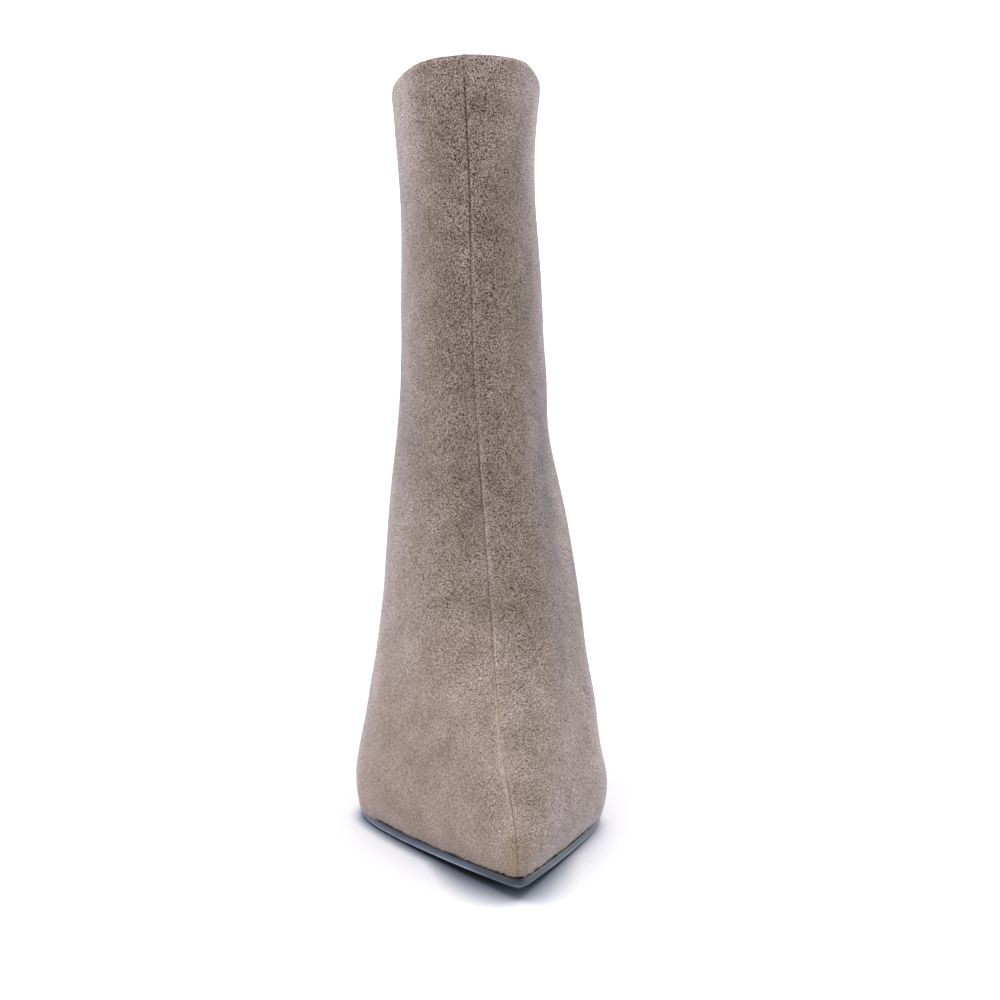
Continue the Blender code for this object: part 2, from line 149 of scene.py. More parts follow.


# The suede upper: the solid's own skin, smoothed, with its seams, folds, brushed places and patches of
# painted light and shade

# lengths in mm: rise goes up the skin from the lower edge, and round from the front seam, inner side +
upperLooks = {
    "levels": 2, "smooth": 50,  # smoothing, and the angle in degrees past which an edge stays sharp
    "suedeShare": 0.2,  # a face is suede where one of its points lies outside by more than this
    "hideWave": 0.14, "hideWaveSize": 17.0, "hideSeed": 3,  # slow unevenness of the hide
    "seamFlat": 0.6, "seamFlatFrom": (6.0, 2.0),  # the hide is flatter beside a seam
    "seamFill": 0.34, "seamFillWidth": 0.9,  # pressed seam: shallower than the solid's groove
    "seamNotch": 0.16, "seamNotchWidth": 0.3,  # the fine line where the two sides meet
    "seamEdgeAt": 0.7, "seamEdgeWidth": 0.5, "seamEdgeRise": 0.25,  # the turned edges beside it
    "lowerHold": 3.0,  # the skin stays on the solid along the lower edge
    # how unevenly the suede is cut along the sole: height, rise that it fades over, waves' sizes and seeds
    "lowerFray": 1.1, "frayRise": 1.6, "frayWaves": [(2.6, 5), (1.3, 6)],
    # where the suede rolls over the sole at the joints: distance round, length, how far down and out
    "overhang": [(-106, 15, 1.7, 0.9), (88, 14, 1.7, 0.8)], "overhangRise": 8.0,
    # square shoulders of the collar: distance round, length, height
    "collarLift": [(26, 9, 1.0), (-17, 9, 0.45)], "collarLiftDepth": 18.0,
    # the front seam from the toe up: rise, dark line, sewn dots, outer and inner turned edge (how high it
    # stands and how strong its painted highlight is), lean inwards
    "frontSeam": [
        (0, 0.05, 0.2, 0.00, 0.00, 0.2), (8, 0.05, 0.3, 0.00, 0.00, 0.5),
        (14, 0.26, 0.6, 0.24, 0.12, 0.9), (24, 0.22, 0.5, 0.70, 0.26, 1.1),
        (34, 0.00, 0.0, 0.85, 0.18, 1.3), (56, 0.00, 0.0, 0.78, 0.16, 1.7),
        (68, 0.15, 0.4, 0.44, 0.34, 1.9), (76, 0.24, 0.6, 0.32, 0.40, 1.8),
        (100, 0.28, 0.6, 0.20, 0.46, 1.4), (112, 0.36, 0.6, 0.05, 0.52, 1.0),
        (133, 0.34, 0.5, 0.00, 0.66, 0.5), (158, 0.50, 0.5, 0.00, 0.60, 0.1),
        (176, 0.38, 0.4, 0.00, 0.52, 0.0), (200, 0.36, 0.5, 0.00, 0.50, 0.0),
        (230, 0.50, 0.4, 0.00, 0.50, 0.0), (254, 0.60, 0.4, 0.00, 0.32, 0.2),
        (284, 0.65, 0.4, 0.00, 0.24, 0.2), (295, 0.70, 0.3, 0.00, 0.15, 0.0),
        (298, 0.10, 0.1, 0.04, 0.04, 0.0), (303, 0.00, 0.0, 0.04, 0.04, 0.0),
    ],
    "backSeam": (0.4, 0.5, 0.06, 0.06, 0.0),  # the same, all the way up
    # soft folds: height above the floor and distance round at both ends; a depth below 0 is a swelling
    "folds": {
        "inner throat": {"up": (110, 118), "round": (18, 52), "width": 4.5, "depth": 0.6},
        "inner ankle, full": {"up": (136, 138), "round": (40, 86), "width": 15.5, "depth": -2.05},
        "outer throat": {"up": (112, 126), "round": (-20, -62), "width": 5.0, "depth": 0.6},
        "outer ankle": {"up": (146, 152), "round": (-24, -64), "width": 6.0, "depth": 0.3},
        "outer joint, drawn in": {"up": (24, 24), "round": (-85, -125), "width": 18.0, "depth": 1.15},
        "inner joint, full": {"up": (37, 37), "round": (66, 102), "width": 9.0, "depth": -1.1},
    },
    "foldComes": (-0.3, 0.35), "foldGoes": (1.4, 0.7),  # shares of a fold's length
    "toeRub": {"rise": 4.0, "up": 9.0, "round": 6.0},  # the tip, rubbed bare
    # patches partly of brushed nap and partly of painted light and shade, lighter (+) where more light falls
    # and darker where less: rise and distance round, size up and round, tone
    "napAndShadePatches": {
        "toe front": ((14, 0), (9, 12), 0.12),
        "inner joint": ((16, 88), (16, 18), 0.34),
        "outer joint": ((16, -106), (16, 20), 0.2),
        "inner toe wall": ((18, 28), (12, 9), 0.07),
        "outer toe": ((32, -17), (8, 13), -0.06),
        "inner joint edge": ((36, 84), (14, 12), 0.18),
        "inner toe ridge": ((46, 5), (30, 5), 0.07),
        "outer vamp edge": ((48, -96), (14, 14), 0.32),
        "inner vamp": ((54, 26), (24, 16), 0.07),
        "outer vamp": ((60, -10), (15, 13), 0.13),
        "inner ridge foot": ((62, 14), (10, 10), 0.14),
        "inner instep side": ((68, 80), (16, 16), -0.20),
        "outer vamp top": ((70, -44), (12, 14), 0.13),
        "toe ridge": ((72, -4), (18, 3), 0.10),
        "inner instep edge": ((72, 50), (15, 16), -0.15),
        "outer instep side": ((72, -92), (16, 16), 0.12),
        "inner ridge": ((82, 5), (18, 6), 0.10),
        "inner instep": ((96, 17), (9, 13), -0.08),
        "inner bend edge": ((98, 72), (14, 12), 0.18),
        "outer bend edge": ((98, -74), (22, 14), 0.18),
        "instep": ((104, 8), (18, 45), -0.06),
        "inner ankle": ((108, 42), (38, 18), -0.34),
        "inner ankle edge": ((128, 53), (20, 13), -0.18),
        "outer instep": ((136, -7), (18, 6), -0.10),
        "outer ankle": ((139, -47), (12, 15), -0.32),
        "bend": ((145, 2), (28, 42), -0.11),
        "lower inner shaft edge": ((172, 51), (20, 9), 0.40),
        "inner shaft side": ((195, 42), (50, 14), -0.07),
        "lower inner shaft": ((200, 27), (18, 8), -0.16),
        "outer shaft side": ((215, -50), (75, 13), 0.42),
        "shaft front": ((225, 2), (75, 26), -0.13),
        "outer shaft front": ((225, -7), (60, 8), -0.10),
        "inner shaft": ((238, 10), (14, 6), -0.14),
        "inner collar edge": ((240, 46), (30, 13), 0.50),
        "inner collar side": ((250, 43), (26, 12), 0.27),
        "outer collar shoulder": ((258, -36), (34, 12), 0.28),
        "outer collar": ((266, -28), (26, 9), 0.38),
        "inner collar": ((270, 21), (14, 8), 0.12),
        "collar front": ((270, -9), (22, 11), -0.10),
        "inner collar shoulder": ((282, 27), (16, 9), 0.30),
        "inner collar front": ((283, 4), (10, 7), -0.16),
        "collar top": ((294, 15), (5, 12), 0.2),
    },
    # where the nap is long and its flecks hold deeper painted shade, as where light grazes the shaft: by
    # height above the floor and distance round
    "napAndShadeGrow": (30.0, 135.0),  # short and faintly shaded over the toe, long and deeply shaded on the shaft
    "napAndShadeFlank": 0.9, "flankFrom": (25.0, 55.0), "flankTo": (85.0, 60.0), "flankUp": (130.0, 170.0),
    "napAndShadeBack": 0.55, "wornFrom": (60.0, 100.0),  # shorter and fainter round the back
    # longer and more deeply shaded over the inner vamp, shorter and fainter over the outer: share, distance
    # round, heights it fades between
    "napAndShadeVamp": [(0.25, 12.0, (110.0, 60.0)), (-0.1, -12.0, (70.0, 30.0))],
}


def edgesAround(point):  # the edges that leave a point, in turn
    loop = first = point.link_loops[0]
    around = []
    while True:
        around.append(loop.edge)
        loop = loop.link_loop_prev.link_loop_radial_next
        if loop == first:
            return around


def lineFrom(point, edge):  # points straight on through the triangles, until the line closes
    line = [point]
    while True:
        point = edge.other_vert(point)
        if point == line[0]:
            return line
        line.append(point)
        around = edgesAround(point)
        edge = around[(around.index(edge) + 3) % 6]  # six edges meet, and the third one on is straight ahead


def slope(edge):
    return abs(edge.verts[0].co.z - edge.verts[1].co.z) / edge.calc_length()


def skinGrid(mesh):  # one column for each point of the rim, down the outside and up the inside again
    top = max(mesh.verts, key=lambda point: point.co.z)
    rim = lineFrom(top, min(edgesAround(top), key=slope))
    steps = []
    for point, after in zip(rim, rim[1:] + rim[:1]):
        around = edgesAround(point)
        along = next(k for k, edge in enumerate(around) if edge.other_vert(point) == after)
        steps.append([around[(along + turn) % 6] for turn in range(6)])
    column = min((1, 2), key=lambda turn: sum(step[turn].calc_length() for step in steps))
    middle = sum((point.co for point in rim), rim[0].co * 0) / len(rim)
    out = max((column, column + 3),
              key=lambda turn: (steps[0][turn].other_vert(rim[0]).co - middle).xy.length)
    grid = [lineFrom(point, step[out]) for point, step in zip(rim, steps)]
    return np.array([[point.index for point in line] for line in grid])


def skinCage(piece):  # rows and columns again from the solid's triangles
    selectOnly(piece)
    bpy.ops.object.mode_set(mode="EDIT")
    bpy.ops.mesh.select_all(action="DESELECT")
    mesh = bmesh.from_edit_mesh(piece.data)
    mesh.verts.index_update()
    grid = skinGrid(mesh)
    kept = set()
    for a, b in ((grid, np.roll(grid, 1, axis=0)), (grid, np.roll(grid, 1, axis=1))):
        kept |= {frozenset(pair) for pair in zip(a.ravel().tolist(), b.ravel().tolist())}
    for edge in mesh.edges:
        edge.select = frozenset(point.index for point in edge.verts) not in kept
    bmesh.update_edit_mesh(piece.data)
    bpy.ops.mesh.dissolve_edges(use_verts=False)
    bpy.ops.object.mode_set(mode="OBJECT")
    return grid


def measureSkin(piece, grid):  # how far each point lies from the seams, the lower edge and the rim
    points = places(piece)
    outerRows = (grid.shape[1] - 1) // 2
    toe = np.argmin(points[grid[:, outerRows], 1])
    grid = np.roll(grid, -toe, axis=0)
    laid = points[grid] / mm
    if laid[3, outerRows, 0] < laid[-3, outerRows, 0]:  # columns run from the front to the inner side
        grid = np.roll(grid[::-1], 1, axis=0)
        laid = points[grid] / mm
    half = len(grid) // 2
    step = np.linalg.norm(np.roll(laid, -1, axis=0) - laid, axis=2)
    inward = np.concatenate([np.zeros((1, laid.shape[1])), np.cumsum(step[:half], axis=0)])
    outward = np.cumsum(step[half:][::-1], axis=0)[::-1]
    climb = np.linalg.norm(np.diff(laid, axis=1), axis=2)
    rise = np.zeros(laid.shape[:2])
    rise[:, :outerRows] = np.cumsum(climb[:, :outerRows][:, ::-1], axis=1)[:, ::-1]
    rise[:, outerRows + 2:] = np.cumsum(climb[:, outerRows + 1:], axis=1)
    outside = np.zeros(laid.shape[:2])
    outside[:, 1:outerRows + 1] = 1.0
    toRim = np.full(laid.shape[:2], farOff)
    toRim[:, :outerRows + 1] = rise[:, :1] - rise[:, :outerRows + 1]
    measures = {
        "across": np.concatenate([inward, -outward[1:]]),
        "toBack": np.concatenate([inward[half] - inward, outward[0] - outward[1:]]),
        "rise": rise, "toRim": toRim, "outside": outside,
    }
    for name, values in measures.items():
        spread = np.zeros(len(points))
        spread[grid.ravel()] = values.ravel()
        setValues(piece, **{name: spread})
    return grid, outerRows


def creaseRows(piece, grid, rows):  # keeps the lower edge sharp under the smoothing
    pairs = {frozenset(pair) for row in rows
             for pair in zip(grid[:, row].tolist(), np.roll(grid[:, row], 1).tolist())}
    sharp = piece.data.attributes.new("crease_edge", "FLOAT", "EDGE")
    sharp.data.foreach_set("value", [float(frozenset(edge.vertices) in pairs) for edge in piece.data.edges])


def holdToSolid(piece, rounds=4):  # moves the cage until its smoothed skin meets the solid's points
    target = places(piece)
    cage = target.copy()
    smooth = addModifier(piece, "SUBSURF", apply=False, levels=1, render_levels=1)
    for _ in range(rounds):
        view = piece.evaluated_get(bpy.context.evaluated_depsgraph_get())
        cage += target - places(view)[:len(target)]
        place(piece, cage)
        bpy.context.view_layer.update()
    piece.modifiers.remove(smooth)


def waves(points, size, seed, count=12):  # slow unevenness, as a few crossing sine waves
    turn = np.random.default_rng(seed)
    total = np.zeros(len(points))
    for _ in range(count):
        way = turn.normal(size=3)
        way *= turn.uniform(0.6, 1.4) / np.linalg.norm(way)  # some waves are longer, some shorter
        total += np.sin(points @ way * 2 * math.pi / size + turn.uniform(0, 2 * math.pi))
    return total / count


def foldDepth(looks, up, across):
    depth = np.zeros(len(up))
    for fold in looks["folds"].values():
        start = np.array([fold["up"][0], fold["round"][0]], float)
        way = np.array([fold["up"][1], fold["round"][1]], float) - start
        length = np.linalg.norm(way)
        way /= length
        run = ((up - start[0]) * way[0] + (across - start[1]) * way[1]) / length
        off = (up - start[0]) * way[1] - (across - start[1]) * way[0]
        fade = ease(*looks["foldComes"], run) * ease(*looks["foldGoes"], run)
        depth += fold["depth"] * fade * bell(off, fold["width"])
    return depth


def markSeams(piece, looks):  # how dark, dotted and turned up the two seams are at each point
    across, toBack, rise = (getValues(piece, name) for name in ("across", "toBack", "rise"))
    front = abs(across) < toBack
    stops = np.array(looks["frontSeam"], float).T
    ink, dots, outerEdge, innerEdge, lean = (
        np.where(front, np.interp(rise, stops[0], ahead), behind)
        for ahead, behind in zip(stops[1:], looks["backSeam"]))
    fromBack = np.where(across < 0, -toBack, toBack)
    line = np.where(front, across - lean, fromBack)  # mm from the sewn line, inner side +
    setValues(piece, seamInk=ink, seamDots=dots, outerEdge=outerEdge, innerEdge=innerEdge, seamSide=line)


def brushNapAndShade(piece, looks):  # painted light and shade, partly brushed nap, in the tone; where the nap is rubbed bare; and where it is long, with deeper painted shade in its flecks
    across, rise = getValues(piece, "across"), getValues(piece, "rise")
    up = places(piece)[:, 2] / mm
    tone = np.zeros(len(up))
    for at, size, share in looks["napAndShadePatches"].values():
        tone += share * bell(rise - at[0], size[0]) * bell(across - at[1], size[1])
    rub = looks["toeRub"]
    rubbed = bell(rise - rub["rise"], rub["up"]) * bell(across, rub["round"])
    away = abs(across)
    flank = ease(*looks["flankFrom"], away) * ease(*looks["flankTo"], away) * ease(*looks["flankUp"], up)
    longNapAndShade = ease(*looks["napAndShadeGrow"], up) * (1 + looks["napAndShadeFlank"] * flank)
    longNapAndShade *= 1 - looks["napAndShadeBack"] * ease(*looks["wornFrom"], away)
    for share, side, fades in looks["napAndShadeVamp"]:
        longNapAndShade += share * ease(0.0, side, across) * ease(*fades, up)
    setValues(piece, napTone=tone, rubbed=rubbed, napLong=longNapAndShade)


def shapeSuede(piece, looks):  # seams, folds and the unevenness of the hide, as real shape
    points, normals = places(piece), vectors(piece, "normal")
    names = ("across", "toBack", "rise", "toRim", "seamSide", "seamInk", "outerEdge", "innerEdge")
    across, toBack, rise, toRim, line, ink, outerEdge, innerEdge = (getValues(piece, name) for name in names)
    outside = ease(0.5, 1.0, getValues(piece, "outside"))
    gap = abs(line)
    turned = np.where(line < 0, outerEdge, innerEdge)
    height = looks["hideWave"] * waves(points / mm, looks["hideWaveSize"], looks["hideSeed"])
    height -= foldDepth(looks, points[:, 2] / mm, across)
    height *= 1 - looks["seamFlat"] * ease(*looks["seamFlatFrom"], gap)
    height += looks["seamFill"] * bell(np.minimum(abs(across), toBack), looks["seamFillWidth"])
    height -= looks["seamNotch"] * bell(gap, looks["seamNotchWidth"]) * ink
    height += looks["seamEdgeRise"] * bell(gap - looks["seamEdgeAt"], looks["seamEdgeWidth"]) * turned
    height *= ease(0.0, looks["lowerHold"], rise)
    points += normals * (height * outside * mm)[:, None]
    fray = sum(abs(waves(points / mm, size, seed)) for size, seed in looks["frayWaves"])
    points[:, 2] += looks["lowerFray"] * fray * ease(looks["frayRise"], 0.0, rise) * outside * mm
    level = normals * (1, 1, 0)
    level /= np.maximum(np.linalg.norm(level, axis=1), 0.01)[:, None]
    for at, size, down, out in looks["overhang"]:
        near = bell(across - at, size) * ease(looks["overhangRise"], 0.0, rise) * outside * mm
        points += level * (near * out)[:, None]
        points[:, 2] -= near * down
    for at, size, lift in looks["collarLift"]:
        points[:, 2] += lift * bell(across - at, size) * ease(looks["collarLiftDepth"], 0.0, toRim) * mm
    place(piece, points)


def makeUpper(looks, suede, lining):
    piece = copyOf("upper", "suede_upper")
    grid = skinCage(piece)
    grid, outerRows = measureSkin(piece, grid)
    creaseRows(piece, grid, (outerRows, outerRows + 1))
    holdToSolid(piece)
    addModifier(piece, "SUBSURF", levels=looks["levels"], render_levels=looks["levels"])
    markSeams(piece, looks)
    brushNapAndShade(piece, looks)
    shapeSuede(piece, looks)
    piece.data.materials.append(suede)
    piece.data.materials.append(lining)
    outside = getValues(piece, "outside")
    for face in piece.data.polygons:
        face.material_index = 0 if max(outside[i] for i in face.vertices) > looks["suedeShare"] else 1
    selectOnly(piece)
    bpy.ops.object.shade_smooth_by_angle(angle=math.radians(looks["smooth"]))
    dressed(piece, "upper")
    return piece


fuzzLooks = {
    # mm, loose fibres along the cut edges, thicker than life
    "perEdge": 12, "length": (0.4, 1.1), "thick": 0.12,
    "collarFrom": 190.0,  # mm, the edge above this height is the collar, the other one lies along the sole
    "collarWay": 1.0, "lowerWay": -0.8,  # up from the collar, down from the lower edge
    "sunk": 0.3,  # mm, how deep the roots lie at most
    "out": (0.2, 1.0), "along": (0.0, 0.9), "stray": 0.4,  # which way the fibres stand
    "section": 0.87,  # half width of a three-sided fibre for a radius of 1
    "seed": 11,
}


def makeFuzz(upper, looks, suede):  # loose fibres that stand out of the cut edges of the suede
    rng = np.random.default_rng(looks["seed"])
    mesh = bmesh.new()
    mesh.from_mesh(upper.data)
    ends, ways = [], []
    rise, outside = getValues(upper, "rise"), getValues(upper, "outside")
    for edge in mesh.edges:
        a, b = (np.array(point.co) for point in edge.verts)
        one, two = (point.index for point in edge.verts)
        sides = sorted(edge.link_faces, key=lambda face: face.material_index)
        collar = a[2] > looks["collarFrom"] * mm and sides[0].material_index != sides[-1].material_index
        lower = max(rise[one], rise[two]) < 0.01 and min(outside[one], outside[two]) > 0.99
        if not (collar or lower):
            continue
        if lower:  # the side wall, not the turned-in bottom
            sides.sort(key=lambda face: -face.normal.xy.length)
        out = np.array(sides[0].normal)
        along = np.array([0, 0, looks["collarWay"] if collar else looks["lowerWay"]])
        for share in rng.random(looks["perEdge"]):
            ends.append(a + share * (b - a) - along * rng.uniform(0, looks["sunk"]) * mm)
            ways.append(out * rng.uniform(*looks["out"]) + along * rng.uniform(*looks["along"])
                        + rng.normal(0, looks["stray"], 3))
    mesh.free()
    ends, ways = np.array(ends), np.array(ways)
    ways /= np.linalg.norm(ways, axis=1)[:, None]
    tips = ends + ways * rng.uniform(*looks["length"], len(ends))[:, None] * mm
    first = np.cross(ways, rng.normal(size=ways.shape))
    first *= looks["thick"] * mm / 2 / np.linalg.norm(first, axis=1)[:, None]
    second = np.cross(ways, first) * looks["section"]
    points = np.stack([ends + first, ends - first / 2 + second, ends - first / 2 - second, tips], axis=1)
    faces = np.array([[0, 2, 1], [0, 1, 3], [1, 2, 3], [2, 0, 3]])
    faces = (np.arange(len(ends))[:, None, None] * 4 + faces).reshape(-1, 3)
    piece = bpy.data.objects.new("suede_fuzz", bpy.data.meshes.new("suede_fuzz"))
    bpy.context.scene.collection.objects.link(piece)
    piece.data.from_pydata(points.reshape(-1, 3).tolist(), [], faces.tolist())
    piece.data.materials.append(suede)
    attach(piece, "root")
    print("piece", piece.name, "with", len(ends), "fibres")


# Materials

suedeLooks = {
    # mm: width and length of a tuft of fibres (coarser than life), tufts that lie one way, brushed places
    "tuft": 0.2, "tuftLength": 0.65, "lay": 1.5, "patch": 10.0,
    "tuftTurns": (25, 65, -25, -65), "tuftBend": 0.3,  # degrees, and how crooked the tufts are
    "mingle": (0.46, 0.54),  # how sharply one lie gives way to the next
    "sideWidth": 8.0, "sideLean": 0.12,  # on each side of the seam more tufts lie one way
    # the dark end of the flecks is partly painted shade between the tufts
    "flecks": [(0.0, "#40352F"), (0.5, "#928376"), (1.0, "#C1B4AC")],
    "shortSwing": 2.3, "longSwing": 7.0,  # contrast of the flecks, with their painted shade between tufts, in short nap and in long
    "shortRaise": 0.1, "longRaise": 0.22,  # mm, how deep the nap looks there
    "pressed": 0.5, "pressedWidth": (0.1, 1.0),  # weaker flecks in the pressed seam, mm from its line
    "patchTone": 0.15,  # how much the brushed places differ
    "edgeWidth": 3.4, "edgeStart": 0.3, "edgeFall": 1.8,  # mm, painted highlight on the turned edges, and how fast it fades
    "rimWidth": 2.2, "rimSheenTone": 0.7,  # mm, painted sheen: the collar's edge drawn paler, as nap seen edge on looks
    "warm": "#FFFAF5", "cool": "#FCFAFF", "coolTones": (0.8, 1.25),  # where the tone is paler, mostly by painted light, it is tinted cooler
    "rubbed": "#86735F", "rubbedShare": 0.5,
    "seam": "#41322A", "seamWidth": (0.1, 0.42),  # mm, the dark line and where it has faded
    "stitch": 2.2, "pullSize": 2.0,  # mm, from stitch to stitch, and how unevenly the thread pulls in
    "pullShare": 3.0, "pullFrom": (1.5, 2.4), "pull": (-0.1, 0.6),
    "roughness": 0.95, "specular": 0.1,
    # the fuzz that lights up edge on: between which facings, how strong, how tufts vary it, and its colour
    "fuzzFacing": (0.5, 0.95), "fuzz": (0.2, 0.75), "fuzzFleck": (0.55, 1.3),
    "fuzzRoughness": 0.35, "fuzzTint": "#E6E0EE",
}


def napTufts(tree, looks, where, seamSide):  # tufts of fibres that lie four ways, mingled
    lay = addNode(tree, "TexNoise", {"Vector": where, "Scale": 1 / (looks["lay"] * mm), "Detail": 1.0})
    lays = addNode(tree, "SeparateXYZ", {0: lay.outputs["Color"]}).outputs
    ways = []
    for turn in looks["tuftTurns"]:
        laid = addNode(tree, "Mapping", {
            "Vector": where, "Rotation": (0, math.radians(turn), 0), "Location": (turn * mm, 0, 0),
            "Scale": (1, 1, looks["tuftLength"] / looks["tuft"])}, vector_type="TEXTURE").outputs[0]
        ways.append(addNode(tree, "TexNoise", {
            "Vector": laid, "Scale": 1 / (looks["tuft"] * mm), "Detail": 0.0,
            "Distortion": looks["tuftBend"]}).outputs["Fac"])
    wide, lean = looks["sideWidth"], looks["sideLean"]
    side = addNode(tree, "MapRange", {"Value": seamSide, 1: -wide, 2: wide, 3: -lean, 4: lean}).outputs[0]
    side = addNode(tree, "Math", {0: side, 1: lays[2]}, operation="ADD").outputs[0]
    low, high = looks["mingle"]
    shares = [addNode(tree, "MapRange", {"Value": value, 1: low, 2: high}).outputs[0]
              for value in (lays[0], lays[1], side)]
    pair = [addNode(tree, "Mix", {0: shares[k], 2: ways[2 * k], 3: ways[2 * k + 1]}).outputs[0]
            for k in (0, 1)]
    return addNode(tree, "Mix", {0: shares[2], 2: pair[0], 3: pair[1]}).outputs[0]


def napFlecks(tree, looks, nap, gap, napLong):  # long nap shows strong flecks, short nap hardly any; the dark between tufts is painted shade
    swing = addNode(tree, "MapRange", {
        "Value": napLong, 3: looks["shortSwing"], 4: looks["longSwing"]}, clamp=False).outputs[0]
    near, far = looks["pressedWidth"]
    pressed = addNode(tree, "MapRange", {
        "Value": gap, 1: near, 2: far, 3: looks["pressed"], 4: 1.0}).outputs[0]
    swing = addNode(tree, "Math", {0: swing, 1: pressed}, operation="MULTIPLY").outputs[0]
    # 0.5 is the middle of the noise and of the ramp of colours
    fleck = addNode(tree, "Math", {0: nap, 1: 0.5}, operation="SUBTRACT").outputs[0]
    return addNode(tree, "Math", {0: fleck, 1: swing, 2: 0.5}, operation="MULTIPLY_ADD").outputs[0]


def napShade(tree, looks, where, held):  # lighter and darker places: brushed patches, painted light and shade, a painted highlight on the turned edges and painted sheen on the rim
    patches = addNode(tree, "TexNoise", {
        "Vector": where, "Scale": 1 / (looks["patch"] * mm), "Detail": 4.0,
        "Roughness": 0.55}).outputs["Fac"]
    (low, high), tone = noiseSpan, looks["patchTone"]
    shade = addNode(tree, "MapRange", {
        "Value": patches, 1: low, 2: high, 3: 1 - tone, 4: 1 + tone}).outputs[0]
    # painted light and shade, partly brushed nap, from the patches listed for the upper
    shade = addNode(tree, "Math", {0: shade, 1: held["napTone"]}, operation="ADD").outputs[0]
    for name, way in (("outerEdge", -1.0), ("innerEdge", 1.0)):  # painted highlight: the turned edges are drawn paler, and it fades slowly
        off = addNode(tree, "Math", {0: held["seamSide"], 1: way}, operation="MULTIPLY").outputs[0]
        near = addNode(tree, "MapRange", {"Value": off, 1: 0.0, 2: looks["edgeStart"]}).outputs[0]
        ridge = addNode(tree, "MapRange", {
            "Value": off, 1: 0.0, 2: looks["edgeWidth"], 3: 1.0, 4: 0.0}).outputs[0]
        ridge = addNode(tree, "Math", {0: ridge, 1: looks["edgeFall"]}, operation="POWER").outputs[0]
        ridge = addNode(tree, "Math", {0: ridge, 1: near}, operation="MULTIPLY").outputs[0]
        shade = addNode(tree, "Math", {0: ridge, 1: held[name], 2: shade},
                        operation="MULTIPLY_ADD").outputs[0]
    # painted sheen along the collar's edge; the loose fibres, which have no rim distance, get all of it
    rim = addNode(tree, "MapRange", {
        "Value": held["toRim"], 1: 0.0, 2: looks["rimWidth"], 3: looks["rimSheenTone"], 4: 0.0}).outputs[0]
    return addNode(tree, "Math", {0: shade, 1: rim}, operation="ADD").outputs[0]


def sewnLine(tree, looks, where, gap, held):  # dark between the turned edges, uneven dots at the stitches
    near, far = looks["seamWidth"]
    line = addNode(tree, "MapRange", {"Value": gap, 1: near, 2: far, 3: 1.0, 4: 0.0}).outputs[0]
    perStitch = 2 * math.pi / looks["stitch"]
    beat = addNode(tree, "Math", {0: held["rise"], 1: perStitch}, operation="MULTIPLY").outputs[0]
    beat = addNode(tree, "Math", {0: beat}, operation="COSINE").outputs[0]
    uneven = addNode(tree, "TexNoise", {
        "Vector": where, "Scale": 1 / (looks["pullSize"] * mm), "Detail": 2.0}).outputs["Fac"]
    beat = addNode(tree, "Math", {0: uneven, 1: looks["pullShare"], 2: beat},
                   operation="MULTIPLY_ADD").outputs[0]
    (low, high), (least, most) = looks["pullFrom"], looks["pull"]
    pulled = addNode(tree, "MapRange", {"Value": beat, 1: low, 2: high, 3: least, 4: most}).outputs[0]
    depth = addNode(tree, "Math", {0: pulled, 1: held["seamDots"], 2: held["seamInk"]},
                    operation="MULTIPLY_ADD", use_clamp=True).outputs[0]
    return addNode(tree, "Math", {0: line, 1: depth}, operation="MULTIPLY", use_clamp=True).outputs[0]


def edgeFuzz(tree, looks, fleck):
    edgeOn = addNode(tree, "LayerWeight", {"Blend": 0.5}).outputs["Facing"]
    (low, high), (least, most) = looks["fuzzFacing"], looks["fuzz"]
    fuzz = addNode(tree, "MapRange", {"Value": edgeOn, 1: low, 2: high, 3: least, 4: most}).outputs[0]
    least, most = looks["fuzzFleck"]
    standing = addNode(tree, "MapRange", {"Value": fleck, 3: least, 4: most}).outputs[0]
    return addNode(tree, "Math", {0: fuzz, 1: standing}, operation="MULTIPLY").outputs[0]


